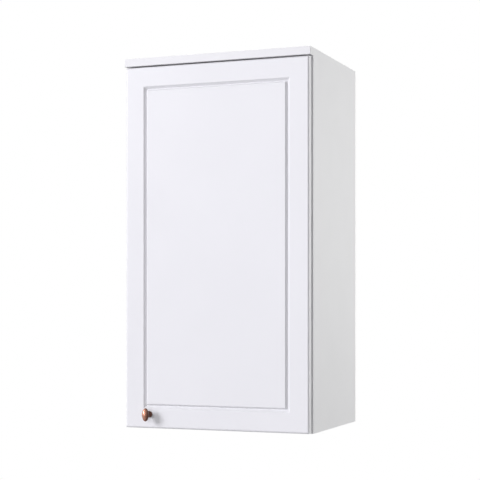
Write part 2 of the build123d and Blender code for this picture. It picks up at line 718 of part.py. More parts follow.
# --- Hangers and wall rail --------------------------------------------------------------------
# Each housing is pressed into a side panel by two spigots. Its hook passes the cut corner of
# the back board and hangs over the lip of the rail. The front screws set depth and height.
for side, name in ((-1, "left"), (1, "right")):
    with BuildPart() as housing:
        with BuildSketch(inner_face(side, hanger_middle_y, hanger_middle)):
            Rectangle(hanger_length, hanger_height)
        extrude(amount=hanger_width)
        fillet(housing.edges().filter_by(Axis.Y).group_by(Axis.X)[0 if side == 1 else -1], hanger_wall)
        with BuildSketch(front_plane(side * hook_x, hanger_rear, hanger_middle)):
            Rectangle(hanger_width - 2 * hanger_wall, hanger_height - 2 * hanger_wall)
        extrude(amount=hanger_length - hanger_front_wall, mode=Mode.SUBTRACT)
        with BuildSketch(front_plane(side * hook_x, hanger_front, hook_screw_low)):
            with Locations((0, 0), (0, hook_screw_spacing)):
                Circle(hook_screw_radius + hook_screw_play)
        extrude(amount=-hanger_front_wall, mode=Mode.SUBTRACT)
        for y in spigot_rows:
            rod(inner_face(side, y, hanger_middle), hanger_spigot_radius, -hanger_spigot_length, 0)
    keep(f"{name}_hanger_housing", housing)

    with BuildPart() as hook:
        with BuildSketch(Plane.YZ.offset(side * hook_x - hook_sheet / 2)):
            with BuildLine():
                Polyline((hook_block_front, hook_block_top), (hook_rear, hook_block_top),
                         (hook_rear, rail_top - hook_nose_drop),
                         (hook_rear - hook_nose_thickness, rail_top - hook_nose_drop),
                         (hook_rear - hook_nose_thickness, rail_top),
                         (hook_block_rear, rail_top), (hook_block_rear, hook_block_top - hook_block_height),
                         (hook_block_front, hook_block_top - hook_block_height), close=True)
            make_face()
        extrude(amount=hook_sheet)
        with BuildSketch(Plane.YZ.offset(side * hook_x - hook_block_width / 2)):
            with Locations((hook_block_middle, hook_block_top - hook_block_height / 2)):
                Rectangle(hook_block_length, hook_block_height)
        extrude(amount=hook_block_width)
        with BuildSketch(front_plane(side * hook_x, hook_block_front, hook_screw_low)):
            with Locations((0, 0), (0, hook_screw_spacing)):
                Circle(hook_screw_radius)
        extrude(amount=-hook_bore_depth, mode=Mode.SUBTRACT)
    keep(f"{name}_hanger_hook", hook)

with BuildPart() as hanger_screws:
    for side in (-1, 1):
        for z in (hook_screw_low, hook_screw_low + hook_screw_spacing):
            face = front_plane(side * hook_x, hanger_front, z)
            with BuildSketch(face):
                Circle(hook_screw_head_radius)
            extrude(amount=hook_screw_head_height)
            with BuildSketch(face.offset(hook_screw_head_height)):
                Rectangle(2 * hook_screw_head_radius, hook_screw_slot)
            extrude(amount=-hook_screw_slot, mode=Mode.SUBTRACT)
            with BuildSketch(face):
                Circle(hook_screw_radius)
            extrude(amount=-(hanger_length - hook_screw_spare))
keep("hanger_adjusting_screws", hanger_screws)

with BuildPart() as wall_rail:
    with BuildSketch(Plane.YZ.offset(-rail_length / 2)):
        with BuildLine():
            Polyline((0, rail_low), (0, rail_step), (-rail_lip_offset + rail_sheet, rail_step),
                     (-rail_lip_offset + rail_sheet, rail_top), (-rail_lip_offset, rail_top),
                     (-rail_lip_offset, rail_step - rail_sheet), (-rail_sheet, rail_step - rail_sheet),
                     (-rail_sheet, rail_low), close=True)
        make_face()
    extrude(amount=rail_length)
    with BuildSketch(front_plane(0, 0, (rail_low + rail_step - rail_sheet) / 2)):
        with Locations((-rail_hole_spacing / 2, 0), (rail_hole_spacing / 2, 0)):
            Circle(rail_hole_radius)
    extrude(amount=rail_sheet, mode=Mode.SUBTRACT)
keep("wall_rail", wall_rail)

os.makedirs("parts", exist_ok=True)
for name, piece in pieces.items():
    export_step(piece, f"parts/{name}.step")
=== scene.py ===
"""Hanging wall cabinet: finishes, fine fittings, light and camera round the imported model."""

import json
import logging
import math
from dataclasses import dataclass, field
from enum import Enum
from functools import cache
from typing import Iterable, Sequence

import bmesh
import bpy
from mathutils import Matrix, Vector

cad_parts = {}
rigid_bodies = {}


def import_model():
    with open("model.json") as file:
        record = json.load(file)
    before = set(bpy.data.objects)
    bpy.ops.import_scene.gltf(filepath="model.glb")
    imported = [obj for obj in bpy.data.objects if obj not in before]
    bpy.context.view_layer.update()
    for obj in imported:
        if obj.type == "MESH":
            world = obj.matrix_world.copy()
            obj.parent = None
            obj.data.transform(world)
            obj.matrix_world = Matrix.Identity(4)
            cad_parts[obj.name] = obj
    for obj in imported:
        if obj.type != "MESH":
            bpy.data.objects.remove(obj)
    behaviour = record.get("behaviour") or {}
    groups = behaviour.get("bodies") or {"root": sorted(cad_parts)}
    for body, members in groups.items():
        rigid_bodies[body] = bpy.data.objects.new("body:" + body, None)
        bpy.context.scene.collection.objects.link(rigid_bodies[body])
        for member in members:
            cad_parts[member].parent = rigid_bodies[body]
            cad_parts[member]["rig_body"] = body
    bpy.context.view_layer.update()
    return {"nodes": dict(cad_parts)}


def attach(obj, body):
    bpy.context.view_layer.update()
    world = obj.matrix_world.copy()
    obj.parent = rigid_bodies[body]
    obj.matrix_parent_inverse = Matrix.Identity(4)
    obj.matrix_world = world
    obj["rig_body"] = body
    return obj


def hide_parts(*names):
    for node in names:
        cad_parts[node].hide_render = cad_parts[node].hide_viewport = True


LOG = logging.getLogger("cabinet")

MM = 0.001

Colour = tuple[float, float, float, float]
Triple = tuple[float, float, float]


# --- Colour and node helpers ------------------------------------------------------------------


def linear(hex_colour: str) -> Colour:
    """Turn an sRGB hex colour into a linear RGBA value.

    Args:
        hex_colour: Six hex digits, with or without a leading hash.

    Returns:
        Linear red, green and blue, and an alpha of 1.
    """
    digits = hex_colour.lstrip("#")
    channels = (int(digits[i:i + 2], 16) / 255 for i in (0, 2, 4))
    return (*(c / 12.92 if c <= 0.04045 else ((c + 0.055) / 1.055) ** 2.4 for c in channels), 1.0)


WHITE = linear("#FFFFFF")


def add_node(tree: bpy.types.NodeTree, kind: str, links: dict[str | int, object] | None = None,
             **settings: object) -> bpy.types.Node:
    """Add a shader node with its settings and its input links or values.

    Args:
        tree: The node tree that gets the node.
        kind: Blender's type name of the node.
        links: Input name or number to an output socket, or to a plain value.
        **settings: Attributes of the node.

    Returns:
        The new node.
    """
    node = tree.nodes.new(kind)
    for name, value in settings.items():
        setattr(node, name, value)
    for socket, source in (links or {}).items():
        if isinstance(source, bpy.types.NodeSocket):
            tree.links.new(source, node.inputs[socket])
        else:
            node.inputs[socket].default_value = source
    return node


def object_place(tree: bpy.types.NodeTree) -> bpy.types.NodeSocket:
    """Object coordinates, in metres."""
    return add_node(tree, "ShaderNodeTexCoord").outputs["Object"]


def noise(tree: bpy.types.NodeTree, place: bpy.types.NodeSocket, size: float, detail: float,
          **levels: float) -> bpy.types.NodeSocket:
    """Soft noise.

    Args:
        tree: The node tree.
        place: Coordinates, in metres.
        size: Size of its features, in millimetres.
        detail: How many finer layers it has.
        **levels: Other inputs of the node.

    Returns:
        The socket that carries the noise, 0 to 1.
    """
    inputs = {"Vector": place, "Scale": 1 / (size * MM), "Detail": detail, **levels}
    return add_node(tree, "ShaderNodeTexNoise", inputs).outputs[0]


def cells(tree: bpy.types.NodeTree, place: bpy.types.NodeSocket, size: float,
          feature: str) -> bpy.types.NodeSocket:
    """Rounded cells, lowest in their middles.

    Args:
        tree: The node tree.
        place: Coordinates, in metres.
        size: Size of a cell, in millimetres.
        feature: "F1" for sharp ridges between the cells, "SMOOTH_F1" for soft ones.

    Returns:
        The socket that carries the distance from a cell's middle.
    """
    inputs = {"Vector": place, "Scale": 1 / (size * MM)}
    return add_node(tree, "ShaderNodeTexVoronoi", inputs, feature=feature).outputs["Distance"]


def remap(tree: bpy.types.NodeTree, value: bpy.types.NodeSocket, band: tuple[float, float],
          reach: tuple[float, float] = (0.0, 1.0)) -> bpy.types.NodeSocket:
    """Spread a band of values over another reach, and hold them at its ends.

    Args:
        tree: The node tree.
        value: The value.
        band: Lowest and highest value that is told apart.
        reach: What those two become.

    Returns:
        The socket that carries the result.
    """
    inputs = {"Value": value, "From Min": band[0], "From Max": band[1],
              "To Min": reach[0], "To Max": reach[1]}
    return add_node(tree, "ShaderNodeMapRange", inputs).outputs[0]


def arithmetic(tree: bpy.types.NodeTree, operation: str, first: bpy.types.NodeSocket,
               second: bpy.types.NodeSocket) -> bpy.types.NodeSocket:
    """Combine two values.

    Args:
        tree: The node tree.
        operation: Blender's name of the operation.
        first: One value.
        second: The other value.

    Returns:
        The socket that carries the result.
    """
    return add_node(tree, "ShaderNodeMath", {0: first, 1: second}, operation=operation).outputs[0]


def blend(tree: bpy.types.NodeTree, share: bpy.types.NodeSocket, first: bpy.types.NodeSocket | Colour,
          second: Colour) -> bpy.types.NodeSocket:
    """Blend two colours.

    Args:
        tree: The node tree.
        share: Share of the second colour.
        first: One colour.
        second: The other colour.

    Returns:
        The socket that carries the blend.
    """
    # Inputs 6 and 7 are A and B as colours, and output 2 is the result as a colour.
    return add_node(tree, "ShaderNodeMix", {0: share, 6: first, 7: second}, data_type="RGBA").outputs[2]


# --- Finishes ---------------------------------------------------------------------------------

CLOUD_BAND = (0.35, 0.65)        # noise between which the clouds go from one colour to the other
SHEEN_BAND = (0.3, 0.7)          # noise between which roughness goes from its least to its most
SHEEN_SHARE = 0.4                # size of the changes in roughness, as a share of the clouds' size
GRAIN_STRETCH = (1, 1, 0.04)     # drawn lines change along Z this much more slowly than across


class Pattern(Enum):
    """What the fine relief of a surface looks like."""

    PEARL = "pearl"          # short embossed cells of pressed decor paper
    ORANGE_PEEL = "peel"     # soft waves of foil or lacquer
    GRAIN = "grain"          # drawn or rolled lines
    CAST = "cast"            # fine pits of die casting
    FIBRE = "fibre"          # pressed wood fibre


@dataclass(frozen=True)
class Finish:
    """A surface finish: colour, gloss and relief, all at real scale.

    Attributes:
        name: Material name, after the real material.
        colour: Main colour, sRGB hex.
        second: Colour of the faint clouds, sRGB hex.
        cloud_size: Size of the clouds in millimetres.
        cloud_strength: Share of the second colour in the clouds.
        roughness: Middle roughness.
        roughness_spread: How far roughness wanders.
        metallic: 1 for metals.
        pattern: Kind of relief.
        pattern_size: Size of the relief in millimetres.
        relief: Depth of the relief in millimetres.
        coat: Weight of a clear coat.
        coat_roughness: Roughness of that coat.
        ior: Index of refraction of a non-metal.
    """

    name: str
    colour: str
    second: str
    cloud_size: float = 60.0
    cloud_strength: float = 0.5
    roughness: float = 0.4
    roughness_spread: float = 0.05
    metallic: float = 0.0
    pattern: Pattern = Pattern.ORANGE_PEEL
    pattern_size: float = 1.0
    relief: float = 0.02
    coat: float = 0.0
    coat_roughness: float = 0.3
    ior: float = 1.5

    def relief_height(self, tree: bpy.types.NodeTree, place: bpy.types.NodeSocket) -> bpy.types.NodeSocket:
        """Height of the relief, 0 to 1.

        Args:
            tree: The material's node tree.
            place: Object coordinates.

        Returns:
            The socket that carries the height.
        """
        if self.pattern is Pattern.PEARL:
            return cells(tree, place, self.pattern_size, "SMOOTH_F1")
        if self.pattern is Pattern.CAST:
            return cells(tree, place, self.pattern_size, "F1")
        if self.pattern is Pattern.GRAIN:
            stretched = add_node(tree, "ShaderNodeMapping", {"Vector": place, "Scale": GRAIN_STRETCH})
            return noise(tree, stretched.outputs[0], self.pattern_size, detail=2.0)
        if self.pattern is Pattern.FIBRE:
            return noise(tree, place, self.pattern_size, detail=6.0, Roughness=0.7, Distortion=1.2)
        return noise(tree, place, self.pattern_size, detail=1.0)

    def tint(self, tree: bpy.types.NodeTree, place: bpy.types.NodeSocket) -> bpy.types.NodeSocket:
        """Colour with its faint clouds.

        Args:
            tree: The material's node tree.
            place: Object coordinates.

        Returns:
            The socket that carries the colour.
        """
        clouds = noise(tree, place, self.cloud_size, detail=3.0)
        share = remap(tree, clouds, CLOUD_BAND, (0.0, self.cloud_strength))
        return blend(tree, share, linear(self.colour), linear(self.second))

    def build(self) -> bpy.types.Material:
        """Make the material.

        Returns:
            A node material on Object coordinates.
        """
        material = bpy.data.materials.new(self.name)
        material.use_nodes = True
        tree = material.node_tree
        shader = tree.nodes["Principled BSDF"]
        place = object_place(tree)
        tree.links.new(self.tint(tree, place), shader.inputs["Base Color"])
        sheen = noise(tree, place, self.cloud_size * SHEEN_SHARE, detail=2.0)
        rough = remap(tree, sheen, SHEEN_BAND,
                      (self.roughness - self.roughness_spread, self.roughness + self.roughness_spread))
        tree.links.new(rough, shader.inputs["Roughness"])
        bump = add_node(tree, "ShaderNodeBump", {"Height": self.relief_height(tree, place),
                                                 "Distance": self.relief * MM, "Strength": 1.0})
        tree.links.new(bump.outputs[0], shader.inputs["Normal"])
        shader.inputs["Metallic"].default_value = self.metallic
        shader.inputs["Coat Weight"].default_value = self.coat
        shader.inputs["Coat Roughness"].default_value = self.coat_roughness
        if not self.metallic:
            shader.inputs["IOR"].default_value = self.ior
        return material


@dataclass(frozen=True)
class AgedCopper(Finish):
    """Copper plating, darkened in a bath and rubbed bright in front; the bright side is also a painted
    highlight towards the key lamp, the dark side also painted shade away from it.

    Attributes:
        dark: Colour of the patina, which also stands for painted shade on the side away from the key lamp,
            sRGB hex.
        rub_size: Size of the mottling in millimetres.
        rub_and_light_middle: Middle of the knob's head, in millimetres.
        rub_and_light_axis: Direction from which fingers reach the head, close to the direction of the key
            lamp, so the rubbed copper there is partly a painted highlight.
        rub_and_light_reach: Distance from the middle at which the rubbing and the painted highlight are
            complete, in millimetres.
        patina_and_shade_band: Rubbing, painted light and mottling together: all patina and painted shade
            below the first, all copper above the second.
    """

    dark: str = "#522F22"
    rub_size: float = 5.0
    rub_and_light_middle: Triple = (-144.5, -328.5, 29.5)
    rub_and_light_axis: Triple = (-0.80, -0.60, 0.08)
    rub_and_light_reach: float = 5.5
    patina_and_shade_band: tuple[float, float] = (0.8, 1.45)

    def tint(self, tree: bpy.types.NodeTree, place: bpy.types.NodeSocket) -> bpy.types.NodeSocket:
        """Dark patina behind the head, bright copper where fingers rub it; towards the key lamp that
        brightness is partly a painted highlight, away from it the patina is partly painted shade.

        Args:
            tree: The material's node tree.
            place: Object coordinates.

        Returns:
            The socket that carries the colour.
        """
        copper = super().tint(tree, place)
        middle = tuple(value * MM for value in self.rub_and_light_middle)
        offset = add_node(tree, "ShaderNodeVectorMath", {0: place, 1: middle}, operation="SUBTRACT")
        along = add_node(tree, "ShaderNodeVectorMath", {0: offset.outputs[0], 1: self.rub_and_light_axis},
                         operation="DOT_PRODUCT")
        # The rubbed side faces the key lamp and is partly a painted highlight; the patina on the far side
        # is partly painted shade.
        rubbed_and_lit = remap(tree, along.outputs["Value"], (-self.rub_and_light_reach * MM, self.rub_and_light_reach * MM))
        mottle = noise(tree, place, self.rub_size, detail=5.0, Roughness=0.65)
        bright = arithmetic(tree, "ADD", rubbed_and_lit, mottle)
        return blend(tree, remap(tree, bright, self.patina_and_shade_band, (1.0, 0.0)), copper, linear(self.dark))


class Finishes(Enum):
    """Every finish on the cabinet."""

    # Routed fibreboard under a thermoformed foil: a nearly neutral satin white, almost smooth.
    DOOR_FOIL = Finish("thermoformed_foil", "#E3E3E5", "#E0E0E2", cloud_size=180, roughness=0.36,
                       roughness_spread=0.04, pattern=Pattern.ORANGE_PEEL, pattern_size=2.2, relief=0.012)
    # Chipboard pressed with white decor paper: a neutral white with a fine pearl grain.
    MELAMINE = Finish("melamine_faced_chipboard", "#E2E2E3", "#DFDFE0", cloud_size=140, roughness=0.46,
                      pattern=Pattern.PEARL, pattern_size=1.1, relief=0.02)
    # Hardboard printed off-white: matter than melamine and a little greyer, with soft broad fibres.
    HARDBOARD = Finish("white_printed_hardboard", "#DEDDDB", "#D6D4D1", cloud_size=45, roughness=0.62,
                       pattern=Pattern.FIBRE, pattern_size=1.6, relief=0.03)
    # Zinc casting, copper plated, aged and lacquered: warm and softly glossy, dark with patina and painted
    # shade away from the key lamp, bright with rubbing and a painted highlight towards it.
    AGED_COPPER = AgedCopper("aged_copper_plating", "#BA8772", "#9C6850", cloud_size=4, roughness=0.34,
                             roughness_spread=0.1, metallic=1.0, pattern=Pattern.CAST, pattern_size=0.7,
                             relief=0.02, coat=0.5)
    # Stamped steel with bright nickel: a warm grey mirror, softened by the rolling lines of the sheet.
    NICKEL = Finish("nickel_plated_steel", "#C9C4BC", "#BDB7AE", cloud_size=12, roughness=0.24,
                    roughness_spread=0.06, metallic=1.0, pattern=Pattern.GRAIN, pattern_size=0.5,
                    relief=0.004)
    # Small screws with clear zinc: bluish and a little dull.
    ZINC_PLATE = Finish("zinc_plated_steel", "#C2C6CC", "#B3B8C0", cloud_size=5, roughness=0.33,
                        roughness_spread=0.06, metallic=1.0, pattern=Pattern.GRAIN, pattern_size=0.4,
                        relief=0.004)
    # Die-cast zinc, left as cast: grey, dull and finely pitted.
    ZINC_CAST = Finish("die_cast_zinc", "#A4A5A8", "#95969A", cloud_size=6, roughness=0.46,
                       metallic=1.0, pattern=Pattern.CAST, pattern_size=0.6, relief=0.02)
    # Hot-dip galvanised strip: dull mid-grey clouds of spangle.
    GALVANISED = Finish("galvanised_steel", "#979B9F", "#82878C", cloud_size=9, cloud_strength=0.9,
                        roughness=0.64, roughness_spread=0.1, metallic=1.0, pattern=Pattern.PEARL,
                        pattern_size=3.0, relief=0.006)
    # Moulded ABS caps: clean white with a semi-gloss.
    ABS = Finish("moulded_abs", "#EDEDEC", "#E9E9E8", cloud_size=20, roughness=0.34,
                 pattern=Pattern.ORANGE_PEEL, pattern_size=0.8, relief=0.008)
    # Moulded nylon housings: off-white, matt from the eroded mould.
    NYLON = Finish("moulded_nylon", "#DDDCD8", "#D5D4CF", cloud_size=16, roughness=0.52,
                   pattern=Pattern.CAST, pattern_size=0.5, relief=0.02)
    # Soft polyurethane dots: milky and slightly glossy.
    CLEAR_RUBBER = Finish("soft_polyurethane", "#D6D8D9", "#CDD0D2", cloud_size=5, roughness=0.3,
                          pattern=Pattern.ORANGE_PEEL, pattern_size=0.6, relief=0.01, ior=1.49)
    # Turned beech: pinkish tan with short dark flecks.
    BEECH = Finish("turned_beech", "#C79B70", "#A97A50", cloud_size=4, cloud_strength=0.8, roughness=0.6,
                   pattern=Pattern.FIBRE, pattern_size=0.7, relief=0.05)


@cache
def material(finish: Finishes) -> bpy.types.Material:
    """The material of a finish, made on first use."""
    return finish.value.build()


# --- Modelling helpers ------------------------------------------------------------------------

SAME_POINT = 1e-6                        # points of a mesh this near each other are one, in metres
FLAT_ANGLE = math.radians(1)             # facets that turn less than this are one face
CREASE_ANGLE = math.radians(35)          # edges sharper than this stay creases
BROKEN_EDGE_FROM = math.radians(40)      # edges sharper than this are broken
BROKEN_EDGE_CREASE = math.radians(30)    # edges sharper than this stay creases after that
BROKEN_EDGE_STEPS = 2                    # facets across a broken edge
SORT_DECIMALS = 4                        # places are compared to a tenth of a millimetre


def deselect() -> None:
    """Clear the selection, so that the next operator acts on its own piece."""
    bpy.ops.object.select_all(action="DESELECT")


def activate(piece: bpy.types.Object) -> None:
    """Select a piece alone and make it the active one."""
    deselect()
    piece.select_set(True)
    bpy.context.view_layer.objects.active = piece


def start_shape(piece: bpy.types.Object) -> None:
    """Open a piece alone in edit mode with everything selected."""
    activate(piece)
    bpy.ops.object.mode_set(mode="EDIT")
    bpy.ops.mesh.select_all(action="SELECT")


def finish_shape() -> None:
    """Point the faces of the open piece outwards, leave edit mode and smooth what isn't a crease."""
    bpy.ops.mesh.select_all(action="SELECT")
    bpy.ops.mesh.normals_make_consistent(inside=False)
    bpy.ops.object.mode_set(mode="OBJECT")
    bpy.ops.object.shade_smooth_by_angle(angle=CREASE_ANGLE)


def turned(outline: Sequence[tuple[float, float]], vertices: int = 32) -> bpy.types.Object:
    """Turn a piece about +Z: a disc that is extruded and resized ring by ring.

    Args:
        outline: Radius and height of each ring, from the lowest up, in metres.
        vertices: Points round each ring.

    Returns:
        The closed piece.
    """
    deselect()
    radius, height = outline[0]
    bpy.ops.mesh.primitive_circle_add(vertices=vertices, radius=radius, fill_type="NGON",
                                      location=(0, 0, height))
    piece = bpy.context.object
    bpy.ops.object.transform_apply(location=True, rotation=True, scale=True)
    start_shape(piece)
    for (low_radius, low), (high_radius, high) in zip(outline, outline[1:]):
        bpy.ops.mesh.extrude_region_move(TRANSFORM_OT_translate={"value": (0, 0, high - low)})
        ratio = high_radius / low_radius
        bpy.ops.transform.resize(value=(ratio, ratio, 1), center_override=(0, 0, high))
    finish_shape()
    return piece


def carve(piece: bpy.types.Object, cutter: bpy.types.Object) -> None:
    """Take a cutter's shape out of a piece, and remove the cutter.

    Args:
        piece: The piece that is cut.
        cutter: The closed shape that is taken away.
    """
    activate(piece)
    cut = piece.modifiers.new("recess", "BOOLEAN")
    cut.operation = "DIFFERENCE"
    cut.object = cutter
    cut.solver = "EXACT"
    bpy.ops.object.modifier_apply(modifier=cut.name)
    bpy.data.objects.remove(cutter, do_unlink=True)


def facing(place: Vector, direction: Vector, roll: float) -> Matrix:
    """Matrix that sets a piece modelled along +Z at a place, pointing in a direction.

    Args:
        place: Where the piece's origin goes.
        direction: Where its +Z goes.
        roll: Turn about its own axis, in radians.

    Returns:
        The matrix.
    """
    turn = direction.to_track_quat("Z", "Y").to_matrix().to_4x4()
    return Matrix.Translation(place) @ turn @ Matrix.Rotation(roll, 4, "Z")


def solid_boxes(node: bpy.types.Object) -> list[tuple[Vector, Vector]]:
    """Lowest and highest corner of each separate solid of a CAD node, in order of height, then X, then Y.

    Args:
        node: The CAD node, whose mesh is only read.

    Returns:
        One pair of corners for each solid.
    """
    merged = bmesh.new()
    merged.from_mesh(node.data)
    bmesh.ops.remove_doubles(merged, verts=merged.verts, dist=SAME_POINT)
    left = set(merged.verts)
    boxes = []
    while left:
        front = [left.pop()]
        solid = list(front)
        while front:
            near = [edge.other_vert(vert) for vert in front for edge in vert.link_edges]
            front = [vert for vert in set(near) if vert in left]
            left.difference_update(front)
            solid.extend(front)
        low = Vector(min(vert.co[axis] for vert in solid) for axis in range(3))
        high = Vector(max(vert.co[axis] for vert in solid) for axis in range(3))
        boxes.append((low, high))
    merged.free()
    return sorted(boxes, key=lambda box: tuple(round(box[0][axis], SORT_DECIMALS) for axis in (2, 0, 1)))


@dataclass(frozen=True)
class CrossScrew:
    """A cross-recess screw along +Z, the underside of its head at z = 0, in millimetres.

    Attributes:
        head_radius: Radius of the head.
        head_height: Height of the head.
        shank_radius: Radius of the shank.
        length: Length of the shank.
        tip: Radius and height of the rings of the tip, in radii of the shank.
        rim: Radius and height of the rings of the head's rim, as shares of the head.
        dome_rings: How many rings the dome has.
        dome_power: Power of sine and cosine in the dome; 1 is an ellipse, less is fuller.
        recess_length: Length of an arm of the recess at the cutter's upper end, in radii of the head.
        recess_width: Width of that arm, in radii of the head.
        recess_depth: Depth of the recess, as a share of the head's height.
        recess_foot: Length and width of the cutter's foot, as shares of its upper end.
    """

    head_radius: float
    head_height: float
    shank_radius: float
    length: float
    tip: tuple[tuple[float, float], ...] = ((0.15, 0.0), (0.8, 1.6), (1.0, 2.2))
    rim: tuple[tuple[float, float], ...] = ((0.97, 0.0), (1.0, 0.1))
    dome_rings: int = 5
    dome_power: float = 2 / 3
    recess_length: float = 1.1
    recess_width: float = 0.22
    recess_depth: float = 0.62
    recess_foot: tuple[float, float] = (0.45, 0.7)

    def build(self) -> bpy.types.Object:
        """Model the screw.

        Returns:
            The screw, with a domed head, a cross recess and a pointed tip.
        """
        head, tall = self.head_radius * MM, self.head_height * MM
        shank, length = self.shank_radius * MM, self.length * MM
        steps = [math.pi / 2 * ring / (self.dome_rings + 1) for ring in range(1, self.dome_rings + 1)]
        screw = turned([
            *((shank * radius, shank * height - length) for radius, height in self.tip),
            (shank, 0),
            *((head * radius, tall * height) for radius, height in self.rim),
            *((head * math.cos(step) ** self.dome_power, tall * math.sin(step) ** self.dome_power)
              for step in steps),
        ])
        for turn in (0.0, math.pi / 2):
            carve(screw, self.blade(turn))
        return screw

    def blade(self, turn: float) -> bpy.types.Object:
        """One arm of the cross recess, narrower at its foot.

        Args:
            turn: Turn about the screw's axis, in radians.

        Returns:
            The cutter.
        """
        head, tall = self.head_radius * MM, self.head_height * MM
        deep = tall * self.recess_depth
        deselect()
        bpy.ops.mesh.primitive_cube_add(size=1, location=(0, 0, tall))
        blade = bpy.context.object
        blade.scale = (head * self.recess_length, head * self.recess_width, 2 * deep)
        bpy.ops.object.transform_apply(location=True, rotation=True, scale=True)
        start_shape(blade)
        bpy.ops.mesh.select_all(action="DESELECT")
        bpy.ops.mesh.select_mode(type="VERT")
        bpy.ops.object.mode_set(mode="OBJECT")
        for vert in blade.data.vertices:
            vert.select = vert.co.z < tall
        bpy.ops.object.mode_set(mode="EDIT")
        bpy.ops.transform.resize(value=(*self.recess_foot, 1), center_override=(0, 0, tall - deep))
        bpy.ops.object.mode_set(mode="OBJECT")
        blade.data.transform(Matrix.Rotation(turn, 4, "Z"))
        return blade


# --- Sub-assemblies ---------------------------------------------------------------------------

BACKWARDS = Vector((0, 1, 0))
LEFTWARDS = Vector((-1, 0, 0))


@dataclass
class Assembly:
    """A group of CAD nodes and new pieces that belong together.

    Attributes:
        nodes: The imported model's nodes, by name.
    """

    nodes: dict[str, bpy.types.Object]

    def dress(self, finish: Finishes, *names: str) -> None:
        """Give CAD nodes a finish.

        Args:
            finish: The finish.
            *names: The nodes.
        """
        for name in names:
            for slot in self.nodes[name].material_slots:
                slot.material = material(finish)
            LOG.info("dressed %s", name)

    def settle(self, piece: bpy.types.Object, name: str, finish: Finishes, node: str) -> None:
        """Put a finished piece's place into its mesh, dress it, and let it stand for a CAD node.

        Args:
            piece: The finished piece.
            name: Its name.
            finish: Its finish, which also gives its slot.
            node: The CAD node that it stands for, and whose body it rides.
        """
        piece.name = name
        piece.data.name = name
        piece.data.transform(piece.matrix_world)
        piece.matrix_world = Matrix.Identity(4)
        piece.data.materials.clear()
        piece.data.materials.append(material(finish))
        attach(piece, self.nodes[node]["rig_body"])
        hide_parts(node)
        LOG.info("piece %s", name)

    def place_copies(self, master: bpy.types.Object, places: Iterable[Matrix], name: str, finish: Finishes,
                     node: str) -> None:
        """Copy a piece modelled at the origin to several places, each copy with its own mesh.

        Args:
            master: The piece, which is removed at the end.
            places: Where the copies go.
            name: What the copies are called, before their number.
            finish: Their finish.
            node: The CAD node that they stand for together.
        """
        for number, place in enumerate(places, 1):
            piece = master.copy()
            piece.data = master.data.copy()
            piece.matrix_world = place
            bpy.context.collection.objects.link(piece)
            self.settle(piece, f"{name}_{number}", finish, node)
        bpy.data.objects.remove(master, do_unlink=True)

    def screws(self, screw: CrossScrew, node: str, direction: Vector, turns: Sequence[float]) -> None:
        """Set detailed screws where a CAD node has its plain ones.

        Args:
            screw: The screw.
            node: The CAD node with one solid for each screw.
            direction: Where the heads point.
            turns: How far each recess is turned, in degrees, as a hand leaves them.
        """
        places = []
        for (low, high), turn in zip(solid_boxes(self.nodes[node]), turns):
            reach = abs((high - low).dot(direction)) / 2 - screw.head_height * MM
            places.append(facing((low + high) / 2 + direction * reach, direction, math.radians(turn)))
        self.place_copies(screw.build(), places, node.removesuffix("s"), Finishes.ZINC_PLATE, node)

    def softened(self, node: str, finish: Finishes, edge: float) -> None:
        """Let a copy of a CAD node with broken edges stand for it.

        Args:
            node: The CAD node.
            finish: Its finish.
            edge: Width of the broken edges, in millimetres.
        """
        piece = self.nodes[node].copy()
        piece.data = self.nodes[node].data.copy()
        piece.parent = None
        for key in [key for key in piece.keys() if key.startswith("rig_")]:
            del piece[key]
        bpy.context.collection.objects.link(piece)
        start_shape(piece)
        bpy.ops.mesh.remove_doubles(threshold=SAME_POINT)
        bpy.ops.mesh.dissolve_limited(angle_limit=FLAT_ANGLE)
        finish_shape()
        bevel = piece.modifiers.new("broken_edges", "BEVEL")
        bevel.width = edge * MM
        bevel.segments = BROKEN_EDGE_STEPS
        bevel.limit_method = "ANGLE"
        bevel.angle_limit = BROKEN_EDGE_FROM
        bevel.use_clamp_overlap = True
        bpy.ops.object.modifier_apply(modifier=bevel.name)
        bpy.ops.object.shade_smooth_by_angle(angle=BROKEN_EDGE_CREASE)
        self.settle(piece, f"{node}_finished", finish, node)

    def build(self) -> None:
        """Dress the nodes and build the new pieces."""
        raise NotImplementedError


@dataclass
class Carcass(Assembly):
    """Side panels, top, bottom, back and shelves, with the fittings that join them.

    Attributes:
        cam_edge: Broken edges of the cams, in millimetres.
        cap_edge: Broken edges of the cover caps.
        support_edge: Broken edges of the shelf supports.
    """

    cam_edge: float = 0.25
    cap_edge: float = 0.2
    support_edge: float = 0.2

    def build(self) -> None:
        """Dress the boards and the knock-down fittings."""
        self.dress(Finishes.MELAMINE, "left_side_panel", "right_side_panel", "top_panel", "bottom_panel",
                   "lower_shelf", "upper_shelf")
        self.dress(Finishes.HARDBOARD, "back_panel")
        self.dress(Finishes.ZINC_PLATE, "cam_bolts")
        self.dress(Finishes.BEECH, "dowels")
        self.softened("cam_locks", Finishes.ZINC_CAST, self.cam_edge)
        self.softened("cam_cover_caps", Finishes.ABS, self.cap_edge)
        for shelf in ("lower", "upper"):
            self.softened(f"{shelf}_shelf_supports", Finishes.NICKEL, self.support_edge)


@dataclass
class DoorLeaf(Assembly):
    """The framed door with its knob and soft stops.

    Attributes:
        knob_screw: The screw that holds the knob from behind.
        knob_turns: Turn of its recess, in degrees.
    """

    knob_screw: CrossScrew = CrossScrew(head_radius=4.2, head_height=2.4, shank_radius=2.0, length=26.0)
    knob_turns: tuple[float, ...] = (20.0,)

    def build(self) -> None:
        """Dress the leaf, the knob and the stops."""
        self.dress(Finishes.DOOR_FOIL, "door_panel")
        self.dress(Finishes.AGED_COPPER, "knob")
        self.screws(self.knob_screw, "knob_screw", BACKWARDS, self.knob_turns)
        self.dress(Finishes.CLEAR_RUBBER, "door_bumpers")


